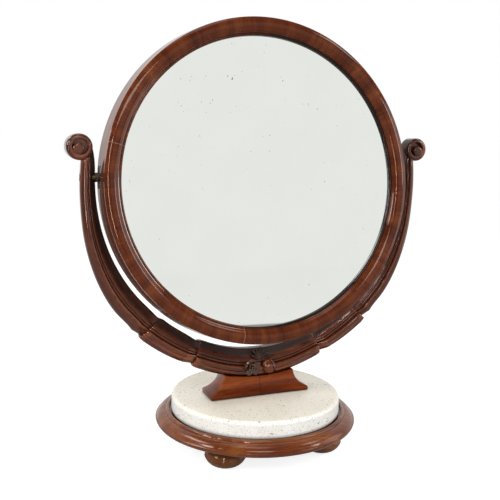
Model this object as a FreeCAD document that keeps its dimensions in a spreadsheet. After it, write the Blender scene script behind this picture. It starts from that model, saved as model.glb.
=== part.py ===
import FreeCAD, Part
import math
import os
import Sketcher

SIZES = (
    ("fit_clearance", 0.05),
    ("loose_clearance", 0.3),
    ("foot_height", 37.5),
    ("foot_radius", 35.2),
    ("foot_swell_height", 17.0),
    ("foot_pad_radius", 14.0),
    ("foot_neck_radius", 20.0),
    ("foot_neck_height", 2.0),
    ("foot_lower_bulge", 4.2),
    ("foot_upper_bulge", 2.9),
    ("foot_inset", 53.0),
    ("foot_corner_angle", 45.0),
    ("spigot_radius", 9.0),
    ("spigot_length", 13.0),
    ("base_radius", 179.0),
    ("base_floor", 19.0),
    ("rim_undercut", 6.0),
    ("rim_nose_height", 8.5),
    ("rim_nose_bulge", 1.66),
    ("rim_fillet_width", 2.0),
    ("rim_fillet_height", 1.2),
    ("rim_slope_width", 15.0),
    ("rim_slope_height", 10.0),
    ("rim_slope_bulge", 2.6),
    ("rim_quirk", 1.0),
    ("rim_bead_width", 6.5),
    ("rim_bead_bulge", 2.1),
    ("recess_depth", 4.0),
    ("marble_gap", 4.0),
    ("marble_thickness", 31.5),
    ("marble_top_round", 6.5),
    ("marble_low_round", 4.0),
    ("block_half_width", 91.0),
    ("block_nose_height", 9.0),
    ("block_nose_setback", 3.0),
    ("block_nose_bulge", 2.7),
    ("block_hollow_bulge", 5.4),
    ("block_top_half_width", 65.0),
    ("block_depth", 53.0),
    ("block_flare", 6.0),
    ("block_flare_bulge", 4.6),
    ("block_edge_height", 7.0),
    ("seat_rise", 33.0),
    ("seat_scribe", 2.0),
    ("bolt_spacing", 110.0),
    ("bolt_radius", 4.0),
    ("bolt_depth_in_block", 22.0),
    ("bolt_head_radius", 7.5),
    ("bolt_head_height", 4.5),
    ("bolt_washer_radius", 10.0),
    ("bolt_washer_thickness", 1.6),
    ("counterbore_margin", 1.0),
    ("counterbore_depth", 8.0),
    ("plinth_dowel_radius", 4.0),
    ("plinth_dowel_place", 32.0),
    ("plinth_dowel_low", 17.0),
    ("plinth_dowel_high", 18.0),
    ("centre_dowel_radius", 3.5),
    ("centre_dowel_length", 40.0),
    ("centre_dowel_low", 15.0),
    ("centre_dowel_high", 29.0),
    ("lap_overlap_angle", 1.6),
    ("lap_dip_angle", 3.0),
    ("lap_dip", 2.0),
    ("lap_front_dip", 7.0),
    ("lap_nose_angle", 1.6),
    ("lap_nose_round", 1.8),
    ("lap_shoulder_share", 0.25),
    ("lap_round_share", 0.5),
    ("lap_slant", 2.0),
    ("slant_fade_angle", 29.7),
    ("band_share", 0.36),
    ("reed_share", 0.11),
    ("arris_share", 0.02),
    ("band_low_share", 0.14),
    ("band_high_share", 0.52),
    ("band_crown_share", 0.3),
    ("reed_crown_share", 0.68),
    ("reed_root_share", 0.58),
    ("arris_high_share", 0.90),
    ("rib_crown_place", 0.86),
    ("rib_crown_share", 0.80),
    ("rib_edge_share", 0.15),
    ("groove_place", 0.8),
    ("groove_level_share", 0.87),
    ("panel_crown_share", 0.98),
    ("outer_crown_place", 0.925),
    ("outer_crown_share", 0.70),
    ("back_outer_share", 0.94),
    ("back_inner_share", 0.05),
    ("scroll_offset", 30.0),
    ("scroll_angle", 10.99),
    ("scroll_radius", 20.8),
    ("scroll_front", 13.5),
    ("scroll_back", 12.0),
    ("scroll_round", 5.0),
    ("volute_shift", -1.0),
    ("volute_lift", 1.2),
    ("volute_radius", 13.2),
    ("volute_depth", 8.0),
    ("eye_shift", 2.0),
    ("eye_drop", 3.0),
    ("eye_radius", 9.5),
    ("eye_front", 15.5),
    ("eye_round", 4.0),
    ("carving_ground", 12.0),
    ("carving_reach", 36.0),
    ("flower_place", 16.5),
    ("flower_height", 21.0),
    ("flower_base_radius", 11.0),
    ("flower_base_depth", 12.0),
    ("petal_reach", 9.0),
    ("petal_length", 7.6),
    ("petal_width", 6.4),
    ("petal_thickness", 3.6),
    ("petal_cup_angle", 14.0),
    ("petal_front", 24.0),
    ("flower_eye_radius", 4.2),
    ("fruit_place", 16.5),
    ("fruit_height", 17.0),
    ("fruit_front", 20.2),
    ("fruit_stem_radius", 8.0),
    ("large_lobe_radius", 12.2),
    ("large_lobe_shift", 1.2),
    ("small_lobe_radius", 10.2),
    ("small_lobe_shift", 4.0),
    ("small_lobe_drop", 1.5),
    ("leaf_place", -2.5),
    ("leaf_height", 41.5),
    ("leaf_ground", 3.5),
    ("leaf_stem_radius", 4.5),
    ("leaf_stem_depth", 7.0),
    ("leaf_front", 9.0),
    ("leaf_curve", 11.5),
    ("leaf_width", 7.0),
    ("leaf_thickness", 3.0),
    ("leaf_reach", 6.0),
    ("leaf_spread", 42.0),
    ("sight_radius", 246.0),
    ("glass_lap", 8.0),
    ("glass_gap", 0.5),
    ("glass_thickness", 4.0),
    ("back_ledge", 12.5),
    ("back_wall", 12.0),
    ("back_rebate_depth", 6.0),
    ("board_gap", 0.5),
    ("core_back", 12.0),
    ("core_front", 18.0),
    ("core_edge_round", 3.0),
    ("hoop_setback", 4.0),
    ("hoop_thickness", 6.0),
    ("hoop_height", 9.0),
    ("hoop_edge_round", 1.5),
    ("lip_height", 3.0),
    ("lip_width", 4.0),
    ("lip_rise", 2.2),
    ("lip_bulge", 0.96),
    ("cushion_overhang", 0.6),
    ("cushion_edge", 2.5),
    ("cushion_bulge", 6.9),
    ("joint_one", 284.0),
    ("joint_two", 346.0),
    ("joint_three", 49.0),
    ("joint_four", 119.0),
    ("joint_five", 190.0),
    ("joint_six", 237.0),
    ("glass_block_angle", 7.0),
    ("glass_block_width", 8.0),
    ("glass_block_height", 12.0),
    ("board_screw_radius", 1.5),
    ("board_screw_length", 14.0),
    ("board_screw_head", 3.2),
    ("board_screw_sink", 2.0),
    ("board_screw_slot", 0.7),
    ("pivot_rise", 12.0),
    ("rest_tilt", 5.5),
    ("plate_sink", 2.8),
    ("plate_thickness", 2.5),
    ("plate_width", 13.0),
    ("plate_length", 36.0),
    ("plate_boss_radius", 6.4),
    ("plate_boss_height", 3.8),
    ("plate_screw_spacing", 24.0),
    ("plate_screw_radius", 1.3),
    ("plate_screw_head", 2.6),
    ("plate_screw_sink", 1.4),
    ("plate_screw_length", 11.0),
    ("friction_washer_radius", 7.5),
    ("friction_washer_thickness", 3.05),
    ("bush_wall", 2.0),
    ("bush_flange_radius", 8.0),
    ("bush_flange_thickness", 1.5),
    ("spot_face_margin", 1.0),
    ("spot_face_reach", 28.0),
    ("pivot_radius", 3.0),
    ("pivot_reach", 9.0),
    ("pivot_head_radius", 6.2),
    ("pivot_head_height", 3.2),
    ("pivot_sink_depth", 6.0),
    ("pivot_sink_margin", 1.0),
    ("pivot_slot_width", 1.2),
    ("pivot_slot_depth", 1.4),
)

STATION_SIZES = ("span", "gap", "width", "front", "back", "groove")
STATIONS = (
    ("centre", 0.0, 14.4, 49.6, 20.4, 18.5, 1.9),
    ("centre_belly", 9.0, 13.9, 48.7, 20.2, 18.0, 2.0),
    ("centre_shoulder", 7.0, 12.0, 47.6, 19.8, 17.5, 2.2),
    ("centre_nose", 5.5, 10.6, 47.4, 19.6, 17.2, 2.6),
    ("husk_end", 0.0, 12.2, 43.6, 18.2, 16.2, 0.6),
    ("husk_belly", 6.5, 9.6, 46.4, 18.3, 16.0, 1.0),
    ("husk_shoulder", 7.0, 7.8, 47.7, 18.0, 15.5, 1.7),
    ("husk_nose", 5.3, 6.6, 48.6, 18.0, 15.3, 2.4),
    ("stalk_end", 0.0, 7.8, 44.7, 16.0, 14.2, 0.0),
    ("stalk_root", 8.7, 6.6, 43.9, 15.8, 13.8, 0.0),
    ("stalk_low", 8.0, 6.2, 41.3, 15.5, 13.3, 0.0),
    ("stalk_middle", 9.0, 5.5, 36.0, 15.0, 12.8, 0.0),
    ("stalk_high", 9.0, 4.9, 30.6, 14.5, 12.3, 0.0),
    ("stalk_waist", 8.0, 4.7, 26.3, 14.2, 12.0, 0.0),
    ("stalk_pivot", 7.0, 5.0, 24.5, 14.0, 12.0, 0.0),
    ("neck_low", 7.0, 7.2, 22.3, 13.0, 12.0, 0.0),
    ("neck_middle", 3.5, 12.0, 19.0, 10.6, 11.5, 0.0),
    ("neck_high", 3.0, 19.8, 15.2, 8.4, 11.0, 0.0),
)

STALK_RUN = ("neck_high", "neck_middle", "neck_low", "stalk_pivot", "stalk_waist",
             "stalk_high", "stalk_middle", "stalk_low", "stalk_root")
HUSK_RUN = ("husk_shoulder", "husk_belly")
CENTRE_RUN = ("centre_shoulder", "centre_belly", "centre")

FULL_TURN = 360
QUARTER_TURN = 90
PETAL_COUNT = 5
GLASS_BLOCK_COUNT = 8
BOARD_SCREW_COUNT = 8
BOLT_HEAD_SIDES = 4
SIDES = (("left", -1), ("right", 1))
FORWARD = (1, 0, 0)
ALONG = (0, 1, 0)
UPWARD = (0, 0, 1)
FIRST_END, LAST_END, CIRCLE_CENTRE = range(1, 4)
UPRIGHT_AXIS, LEVEL_AXIS = range(-2, 0)

doc = FreeCAD.newDocument("dressing_table_mirror")
sheet = doc.addObject("Spreadsheet::Sheet", "Sizes")


def enter(alias, content):
    """Writes one named value into the next row of the sheet."""
    enter.row += 1
    sheet.set("A%d" % enter.row, alias)
    sheet.set("B%d" % enter.row, content)
    sheet.setAlias("B%d" % enter.row, alias)


enter.row = 0
for alias, amount in SIZES:
    enter(alias, str(amount))
for name, *amounts in STATIONS:
    for word, amount in zip(STATION_SIZES, amounts):
        enter("%s_%s" % (name, word), str(amount))
doc.recompute()


class Size:
    """A length or angle together with the sheet expression that gives it."""

    def __init__(self, value, text):
        self.value = value
        self.text = text

    def __add__(self, other):
        other = as_size(other)
        return Size(self.value + other.value, "(%s + %s)" % (self.text, other.text))

    def __sub__(self, other):
        other = as_size(other)
        return Size(self.value - other.value, "(%s - %s)" % (self.text, other.text))

    def __mul__(self, other):
        other = as_size(other)
        return Size(self.value * other.value, "(%s * %s)" % (self.text, other.text))

    def __truediv__(self, other):
        other = as_size(other)
        return Size(self.value / other.value, "(%s / %s)" % (self.text, other.text))

    def __neg__(self):
        return Size(-self.value, "(-1 * %s)" % self.text)


def as_size(number):
    if isinstance(number, Size):
        return number
    return Size(float(number), str(number))


def size(alias):
    return Size(float(sheet.get(alias)), "Sizes.%s" % alias)


def derive(alias, number):
    """Keeps a worked-out size as a named formula in the sheet."""
    enter(alias, "=" + number.text.replace("Sizes.", ""))
    sheet.recompute()
    return size(alias)


def root(number):
    return Size(math.sqrt(number.value), "sqrt(%s)" % number.text)


def sine(angle):
    return Size(math.sin(math.radians(angle.value)), "sin(%s)" % angle.text)


def cosine(angle):
    return Size(math.cos(math.radians(angle.value)), "cos(%s)" % angle.text)


def rounding(radius):
    """The bulge of a quarter circle of this radius over its chord."""
    return radius - radius * root(as_size(1) / 2)


def bind(item, name, number):
    item.setExpression(name, as_size(number).text)


def step(across=0, back=0, up=0, axis=UPWARD, turn=0):
    place = tuple(as_size(number).text for number in (across, back, up))
    spin = "rotation(vector(%d; %d; %d); %s)" % (*axis, as_size(turn).text)
    return "placement(vector(%s; %s; %s); %s)" % (*place, spin)


def seat(item, *steps):
    item.setExpression("Placement", " * ".join(steps))
    return item


def cylinder(name, radius, length, *steps):
    item = doc.addObject("Part::Cylinder", name)
    bind(item, "Radius", radius)
    bind(item, "Height", length)
    return seat(item, *steps)


def cone(name, low_radius, high_radius, length, *steps):
    item = doc.addObject("Part::Cone", name)
    bind(item, "Radius1", low_radius)
    bind(item, "Radius2", high_radius)
    bind(item, "Height", length)
    return seat(item, *steps)


def box(name, length, width, height, *steps):
    item = doc.addObject("Part::Box", name)
    bind(item, "Length", length)
    bind(item, "Width", width)
    bind(item, "Height", height)
    return seat(item, *steps)


def ellipsoid(name, height, length, width, *steps):
    item = doc.addObject("Part::Ellipsoid", name)
    bind(item, "Radius1", height)
    bind(item, "Radius2", length)
    bind(item, "Radius3", width)
    return seat(item, *steps)


def fuse(name, items):
    item = doc.addObject("Part::MultiFuse", name)
    item.Shapes = items
    return item


def cut(name, base, tool):
    item = doc.addObject("Part::Cut", name)
    item.Base = base
    item.Tool = tool
    return item


def group(name, items):
    item = doc.addObject("Part::Compound", name)
    item.Links = items
    return item


def new_body(name):
    return doc.addObject("PartDesign::Body", name)


def new_sketch(body, name, role, lift):
    sketch = body.newObject("Sketcher::SketchObject", name)
    plane = [item for item in body.Origin.OriginFeatures if item.Role == role][0]
    sketch.AttachmentSupport = [(plane, "")]
    sketch.MapMode = "FlatFace"
    if lift is not None:
        bind(sketch, "AttachmentOffset.Base.z", lift)
    return sketch


def pin_point(sketch, edge, end, place):
    for number, kind, axis in zip(place, ("DistanceX", "DistanceY"), (UPRIGHT_AXIS, LEVEL_AXIS)):
        if number is None:
            sketch.addConstraint(Sketcher.Constraint("PointOnObject", edge, end, axis))
            continue
        rule = Sketcher.Constraint(kind, LEVEL_AXIS, FIRST_END, edge, end, number.value)
        index = sketch.addConstraint(rule)
        bind(sketch, "Constraints[%d]" % index, number)


def flat_point(place):
    return FreeCAD.Vector(*(0 if number is None else number.value for number in place), 0)


def arc_radius(start, stop, bulge):
    """The radius of the arc that stands this far out over the chord between two bound corners."""
    spans = [as_size(b or 0) - as_size(a or 0) for a, b in zip(start, stop)]
    chord_squared = spans[0] * spans[0] + spans[1] * spans[1]
    return (chord_squared / 4 + bulge * bulge) / (bulge * 2)


def profile(body, name, role, corners, arcs, lift=None):
    """Closed outline through bound corners; arcs maps an edge to its bulge and the side it bulges to."""
    sketch = new_sketch(body, name, role, lift)
    ends = []
    for index, corner in enumerate(corners):
        start = flat_point(corner)
        stop = flat_point(corners[(index + 1) % len(corners)])
        if index in arcs:
            bulge, side = arcs[index]
            chord = stop - start
            outward = FreeCAD.Vector(chord.y, -chord.x, 0).normalize()
            middle = (start + stop) / 2 + outward * bulge.value * side
            edge = sketch.addGeometry(Part.Arc(start, middle, stop), False)
        else:
            edge = sketch.addGeometry(Part.LineSegment(start, stop), False)
        begin = (sketch.getPoint(edge, FIRST_END) - start).Length
        finish = (sketch.getPoint(edge, LAST_END) - start).Length
        ends.append((edge, FIRST_END, LAST_END) if begin < finish else (edge, LAST_END, FIRST_END))
    for index, (edge, first, last) in enumerate(ends):
        after, after_first, _ = ends[(index + 1) % len(ends)]
        sketch.addConstraint(Sketcher.Constraint("Coincident", edge, last, after, after_first))
        pin_point(sketch, edge, first, corners[index])
        if index in arcs:
            radius = arc_radius(corners[index], corners[(index + 1) % len(corners)], arcs[index][0])
            rule = sketch.addConstraint(Sketcher.Constraint("Radius", edge, radius.value))
            bind(sketch, "Constraints[%d]" % rule, radius)
    return sketch


def revolve(body, name, sketch, angle=as_size(FULL_TURN)):
    feature = body.newObject("PartDesign::Revolution", name)
    feature.Profile = sketch
    feature.ReferenceAxis = (sketch, ["V_Axis"])
    feature.Angle = angle.value
    bind(feature, "Angle", angle)
    return feature


def pocket(body, name, sketch, depth, reverse):
    feature = body.newObject("PartDesign::Pocket", name)
    feature.Profile = sketch
    bind(feature, "Length", depth)
    feature.Reversed = reverse
    return feature


def drill(body, name, role, lift, places, radius, depth, reverse):
    sketch = new_sketch(body, name + "_sketch", role, lift)
    for place in places:
        circle = Part.Circle(flat_point(place), FreeCAD.Vector(*UPWARD), radius.value)
        edge = sketch.addGeometry(circle, False)
        pin_point(sketch, edge, CIRCLE_CENTRE, place)
        rule = sketch.addConstraint(Sketcher.Constraint("Radius", edge, radius.value))
        bind(sketch, "Constraints[%d]" % rule, radius)
    return pocket(body, name, sketch, depth, reverse)


nodes = []
fit_clearance = size("fit_clearance")
loose_clearance = size("loose_clearance")

# Radii of the round frame, from the sight edge outwards.
sight_radius = size("sight_radius")
glass_radius = derive("glass_radius", sight_radius + size("glass_lap"))
glass_rebate = derive("glass_rebate_radius", glass_radius + size("glass_gap"))
back_rebate = derive("back_rebate_radius", glass_rebate + size("back_ledge"))
core_radius = derive("core_radius", back_rebate + size("back_wall"))
hoop_radius = derive("hoop_radius", core_radius - size("hoop_setback"))

# Heights of the stand, from the table upwards.
base_low = size("foot_height")
recess_floor = derive("recess_floor_height", base_low + size("base_floor"))
marble_high = derive("marble_top_height", recess_floor + size("marble_thickness"))
yoke_radius = derive("yoke_outer_radius", core_radius + size("centre_gap") + size("centre_width"))
seat_radius = derive("seat_radius", yoke_radius - size("seat_scribe"))
seat_low = derive("seat_low_height", marble_high + size("seat_rise"))
yoke_centre = derive("yoke_centre_height", seat_low + seat_radius)
yoke_low = derive("yoke_low_height", yoke_centre - yoke_radius)
pivot_rise = size("pivot_rise")
pivot_height = derive("pivot_height", yoke_centre + pivot_rise)
PIVOT = step(0, 0, pivot_height, (-1, 0, 0), size("rest_tilt"))
TILT = PIVOT + " * " + step(0, 0, -pivot_rise)

bolt_across = size("bolt_spacing") / 2
bolt_places = ((-bolt_across, None), (bolt_across, None))
counterbore_radius = size("bolt_washer_radius") + size("counterbore_margin")

base_board = new_body("base_board")
base_radius = size("base_radius")
nose_high = base_low + size("rim_nose_height")
fillet_radius = base_radius - size("rim_fillet_width")
fillet_high = nose_high + size("rim_fillet_height")
slope_radius = fillet_radius - size("rim_slope_width")
slope_high = fillet_high + size("rim_slope_height")
bead_radius = slope_radius - size("rim_quirk")
recess_radius = derive("recess_radius", bead_radius - size("rim_bead_width"))
rim_high = recess_floor + size("recess_depth")
outline = profile(base_board, "base_outline", "XZ_Plane", (
    (None, base_low),
    (base_radius - size("rim_undercut"), base_low),
    (base_radius, nose_high),
    (fillet_radius, fillet_high),
    (slope_radius, slope_high),
    (bead_radius, slope_high),
    (recess_radius, rim_high),
    (recess_radius, recess_floor),
    (None, recess_floor),
), {
    1: (size("rim_nose_bulge"), 1),
    3: (size("rim_slope_bulge"), 1),
    5: (size("rim_bead_bulge"), 1),
})
revolve(base_board, "base_turning", outline)
foot_circle = derive("foot_circle_radius", base_radius - size("foot_inset"))
foot_across = foot_circle * sine(size("foot_corner_angle"))
foot_back = foot_circle * cosine(size("foot_corner_angle"))
foot_places = tuple((foot_across * x, foot_back * y) for x in (-1, 1) for y in (-1, 1))
drill(base_board, "foot_sockets", "XY_Plane", base_low, foot_places,
      size("spigot_radius"), size("spigot_length") + loose_clearance, True)
drill(base_board, "base_bolt_holes", "XY_Plane", base_low, bolt_places,
      size("bolt_radius") + loose_clearance, size("base_floor"), True)
drill(base_board, "base_counterbores", "XY_Plane", base_low, bolt_places,
      counterbore_radius, size("counterbore_depth"), True)
nodes.append(base_board)

neck_high = base_low - size("foot_neck_height")
spigot_high = base_low + size("spigot_length")
for row_name, back in (("front", -1), ("rear", 1)):
    for side_name, side in SIDES:
        name = "foot_%s_%s" % (row_name, side_name)
        foot = new_body(name)
        outline = profile(foot, name + "_outline", "XZ_Plane", (
            (None, None),
            (size("foot_pad_radius"), None),
            (size("foot_radius"), size("foot_swell_height")),
            (size("foot_neck_radius"), neck_high),
            (size("foot_neck_radius"), base_low),
            (size("spigot_radius"), base_low),
            (size("spigot_radius"), spigot_high),
            (None, spigot_high),
        ), {
            1: (size("foot_lower_bulge"), 1),
            2: (size("foot_upper_bulge"), 1),
        })
        revolve(foot, name + "_turning", outline)
        seat(foot, step(foot_across * side, foot_back * back))
        nodes.append(foot)

marble_slab = new_body("marble_slab")
marble_radius = derive("marble_radius", recess_radius - size("marble_gap"))
top_round = size("marble_top_round")
low_round = size("marble_low_round")
outline = profile(marble_slab, "slab_outline", "XZ_Plane", (
    (None, recess_floor),
    (marble_radius - low_round, recess_floor),
    (marble_radius, recess_floor + low_round),
    (marble_radius, marble_high - top_round),
    (marble_radius - top_round, marble_high),
    (None, marble_high),
), {1: (rounding(low_round), 1), 3: (rounding(top_round), 1)})
revolve(marble_slab, "slab_turning", outline)
drill(marble_slab, "slab_bolt_holes", "XY_Plane", recess_floor, bolt_places,
      size("bolt_radius") + loose_clearance, size("marble_thickness"), True)
nodes.append(marble_slab)

plinth_block = new_body("plinth_block")
half_wide = size("block_half_width")
nose_wide = half_wide - size("block_nose_setback")
nose_top = marble_high + size("block_nose_height")
top_wide = size("block_top_half_width")
seat_depth = root(seat_radius * seat_radius - top_wide * top_wide)
seat_ends = derive("seat_end_height", yoke_centre - seat_depth)
edge_rise = size("block_edge_height")
outline = profile(plinth_block, "block_front", "XZ_Plane", (
    (-half_wide, marble_high),
    (half_wide, marble_high),
    (nose_wide, nose_top),
    (top_wide, seat_ends),
    (-top_wide, seat_ends),
    (-nose_wide, nose_top),
), {
    1: (size("block_nose_bulge"), 1),
    2: (size("block_hollow_bulge"), -1),
    3: (seat_radius - seat_depth, -1),
    4: (size("block_hollow_bulge"), -1),
    5: (size("block_nose_bulge"), 1),
})
block_pad = plinth_block.newObject("PartDesign::Pad", "block_pad")
block_pad.Profile = outline
block_pad.Midplane = True
bind(block_pad, "Length", size("block_depth"))
half_deep = size("block_depth") / 2
edge_high = marble_high + edge_rise
above = seat_ends + edge_rise
outside = half_deep + edge_rise
for name, way in (("front", -1), ("rear", 1)):
    outline = profile(plinth_block, "flare_%s_sketch" % name, "YZ_Plane", (
        (half_deep * way, edge_high),
        ((half_deep - size("block_flare")) * way, above),
        (outside * way, above),
        (outside * way, edge_high),
    ), {0: (size("block_flare_bulge"), -way)})
    flare = pocket(plinth_block, "flare_" + name, outline, (half_wide + edge_rise) * 2, False)
    flare.Midplane = True
drill(plinth_block, "block_bolt_holes", "XY_Plane", marble_high, bolt_places,
      size("bolt_radius") + fit_clearance, size("bolt_depth_in_block") + loose_clearance, True)
dowel_place = size("plinth_dowel_place")
dowel_low = seat_low - size("plinth_dowel_low")
dowel_length = size("plinth_dowel_low") + size("plinth_dowel_high")
drill(plinth_block, "block_dowel_holes", "XY_Plane", dowel_low,
      ((-dowel_place, None), (dowel_place, None)),
      size("plinth_dowel_radius"), dowel_length, True)
nodes.append(plinth_block)

# The carved arm: lofts through stations that lie on planes through the yoke's axis.
station_angles = {}
angle = 0
for name, *_ in STATIONS:
    angle += size(name + "_span").value
    station_angles[name] = angle
husk_lap = station_angles["husk_nose"]
centre_lap = station_angles["centre_nose"]
slant_end = husk_lap + size("slant_fade_angle").value


def station_row(name):
    return tuple(size("%s_%s" % (name, word)).value for word in STATION_SIZES[1:])


def station(side, angle, gap, width, front, back, groove):
    """Cross-section of the arm at this angle from below: inner band, two reeds, arris and outer face.

    The outer face is one round rib on the stalk, and a panel with a grooved-off outer band on a husk.
    """
    rise = (angle - centre_lap) / (husk_lap - centre_lap)
    fall = (slant_end - angle) / (slant_end - husk_lap)
    slant = size("lap_slant").value * max(0, min(1, rise, fall))
    inner_turn = math.radians(angle - slant)
    outer_turn = math.radians(angle)
    inner = core_radius.value + gap
    centre = FreeCAD.Vector(0, 0, yoke_centre.value)
    inner_way = FreeCAD.Vector(math.sin(inner_turn) * side, 0, -math.cos(inner_turn))
    outer_way = FreeCAD.Vector(math.sin(outer_turn) * side, 0, -math.cos(outer_turn))
    inner_end = centre + inner_way * inner
    outer_end = centre + outer_way * (inner + width)

    def point(share, back_by):
        return inner_end + (outer_end - inner_end) * share + FreeCAD.Vector(0, back_by, 0)

    def ahead(share, depth_share):
        return point(share, -depth_share * front)

    band = size("band_share").value
    reed = size("reed_share").value
    reed_root = size("reed_root_share").value
    reed_crown = size("reed_crown_share").value
    reeds_end = band + reed + reed
    inner_front = ahead(0, size("band_low_share").value)
    band_crown = ahead(band / 2, size("band_crown_share").value)
    band_end = ahead(band, size("band_high_share").value)
    reed_middle = ahead(band + reed, reed_root)
    reed_end = ahead(reeds_end, reed_root)
    arris = ahead(reeds_end + size("arris_share").value, size("arris_high_share").value)
    rib_crown = ahead(size("rib_crown_place").value, size("rib_crown_share").value)
    rib_end = ahead(1, size("rib_edge_share").value)
    back_outer = point(size("back_outer_share").value, back)
    back_inner = point(size("back_inner_share").value, back)
    if groove:
        groove_place = size("groove_place").value
        arris_place = reeds_end + size("arris_share").value
        groove_point = point(groove_place, groove - size("groove_level_share").value * front)
        panel_crown = ahead((arris_place + groove_place) / 2, size("panel_crown_share").value)
        outer_crown = ahead(size("outer_crown_place").value, size("outer_crown_share").value)
        outer_face = [
            Part.Arc(arris, panel_crown, groove_point).toShape(),
            Part.Arc(groove_point, outer_crown, rib_end).toShape(),
        ]
    else:
        outer_face = [Part.Arc(arris, rib_crown, rib_end).toShape()]
    edges = [
        Part.Arc(inner_front, band_crown, band_end).toShape(),
        Part.Arc(band_end, ahead(band + reed / 2, reed_crown), reed_middle).toShape(),
        Part.Arc(reed_middle, ahead(reeds_end - reed / 2, reed_crown), reed_end).toShape(),
        Part.makeLine(reed_end, arris),
        *outer_face,
        Part.makeLine(rib_end, back_outer),
        Part.makeLine(back_outer, back_inner),
        Part.makeLine(back_inner, inner_front),
    ]
    return Part.Wire(edges)


def loft(side, rows, ruled=False):
    return Part.makeLoft([station(side, *row) for row in rows], True, ruled)


def drawn_in(row, amount, front_amount):
    gap, width, front, back, groove = row
    return (gap + amount, width - amount - amount, front - front_amount, back - amount, groove)


def nose_rows(name):
    """The first stations of a husk, rounded over the stem that grows out of it."""
    angle = station_angles[name]
    row = station_row(name)
    turn = size("lap_nose_angle").value
    amount = size("lap_nose_round").value
    shoulder_turn = turn * size("lap_shoulder_share").value
    shoulder_amount = amount * size("lap_round_share").value
    return (
        (angle, *drawn_in(row, amount, amount)),
        (angle - shoulder_turn, *drawn_in(row, shoulder_amount, shoulder_amount)),
        (angle - turn, *row),
    )


def end_rows(name):
    """The last stations of a stem, which dips and then runs on inside the husk that covers it."""
    angle = station_angles[name]
    row = station_row(name)
    dip = drawn_in(row, size("lap_dip").value, size("lap_front_dip").value)
    return (
        (angle + size("lap_dip_angle").value, *row),
        (angle, *dip),
        (angle - size("lap_overlap_angle").value, *dip),
    )


def stem(side, nose, run, end):
    """One length of the arm: rounded nose, carved run and dipped end, joined at their own stations."""
    nose = nose_rows(nose) if nose else ()
    end = end_rows(end) if end else ()
    run = tuple((station_angles[name], *station_row(name)) for name in run)
    pieces = [loft(side, nose[-1:] + run + end[:1])]
    pieces += [loft(side, rows, True) for rows in (nose, end) if rows]
    return pieces


def turned(name, radius, front, back, edge_round, *steps):
    """A disc with a rounded front edge, turned about the line that runs from front to back."""
    body = new_body(name)
    outline = profile(body, name + "_outline", "XY_Plane", (
        (None, -front),
        (radius - edge_round, -front),
        (radius, edge_round - front),
        (radius, back),
        (None, back),
    ), {1: (rounding(edge_round), 1)})
    revolve(body, name + "_turning", outline)
    return seat(body, *steps)


def carve_arm(side_name, side):
    """One arm before it is drilled: its three stems and the scroll with its hollow and eye."""
    stems = stem(side, None, STALK_RUN, "stalk_end")
    stems += stem(side, "husk_nose", HUSK_RUN, "husk_end")
    stems += stem(side, "centre_nose", CENTRE_RUN, None)
    arm_stems = doc.addObject("Part::Feature", side_name + "_arm_stems")
    arm_stems.Shape = stems[0].fuse(stems[1:])
    scroll = turned(side_name + "_scroll", size("scroll_radius"), size("scroll_front"),
                    size("scroll_back"), size("scroll_round"), step(scroll_reach * side, 0, scroll_high))
    volute = cylinder(side_name + "_volute", size("volute_radius"), size("volute_depth") * 2,
                      step(volute_reach * side, volute_floor, volute_high, FORWARD, QUARTER_TURN))
    eye = turned(side_name + "_scroll_eye", size("eye_radius"), size("eye_front"), None,
                 size("eye_round"), step(eye_reach * side, 0, eye_high))
    blank = fuse(side_name + "_arm_blank", [arm_stems, scroll])
    hollow = cut(side_name + "_arm_hollow", blank, volute)
    return fuse(side_name + "_arm_carving", [hollow, eye])


scroll_reach = core_radius + size("scroll_offset")
scroll_angle = size("scroll_angle")
scroll_high = yoke_centre + scroll_reach * sine(scroll_angle) / cosine(scroll_angle)
volute_reach = scroll_reach + size("volute_shift")
volute_high = scroll_high + size("volute_lift")
volute_floor = size("volute_depth") - size("scroll_front")
eye_reach = scroll_reach + size("eye_shift")
eye_high = scroll_high - size("eye_drop")

ground = size("carving_ground")
reach = size("carving_reach")
flower_place = -size("flower_place")
flower_high = yoke_low + size("flower_height")
fruit_place = size("fruit_place")
fruit_high = yoke_low + size("fruit_height")
leaf_place = size("leaf_place")
leaf_high = yoke_low + size("leaf_height")
leaf_ground = size("leaf_ground")
FLOWER = step(flower_place, -ground, flower_high, FORWARD, QUARTER_TURN)
FRUIT = step(fruit_place, -ground, fruit_high, FORWARD, QUARTER_TURN)
LEAF = step(leaf_place, -leaf_ground, leaf_high, FORWARD, QUARTER_TURN)
centre_dowel_levels = (
    ("low", yoke_low + size("centre_dowel_low")),
    ("high", yoke_low + size("centre_dowel_high")),
)


def centre_dowel(name, height):
    start = step(-size("centre_dowel_length") / 2, 0, height, ALONG, QUARTER_TURN)
    return cylinder(name, size("centre_dowel_radius"), size("centre_dowel_length"), start)


plate_place = derive("plate_place", core_radius - size("plate_sink"))
boss_place = derive("boss_place", plate_place + size("plate_boss_height"))
washer_place = derive("friction_washer_place", boss_place + fit_clearance)
flange_place = derive("flange_place", washer_place + size("friction_washer_thickness"))
spot_place = derive("spot_face_place", flange_place + size("bush_flange_thickness"))
arm_outside = core_radius + size("stalk_pivot_gap") + size("stalk_pivot_width")
sink_place = derive("pivot_sink_place", arm_outside - size("pivot_sink_depth"))
bush_radius = size("pivot_radius") + size("bush_wall")
sink_radius = size("pivot_head_radius") + size("pivot_sink_margin")
spot_radius = size("bush_flange_radius") + size("spot_face_margin")

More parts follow.
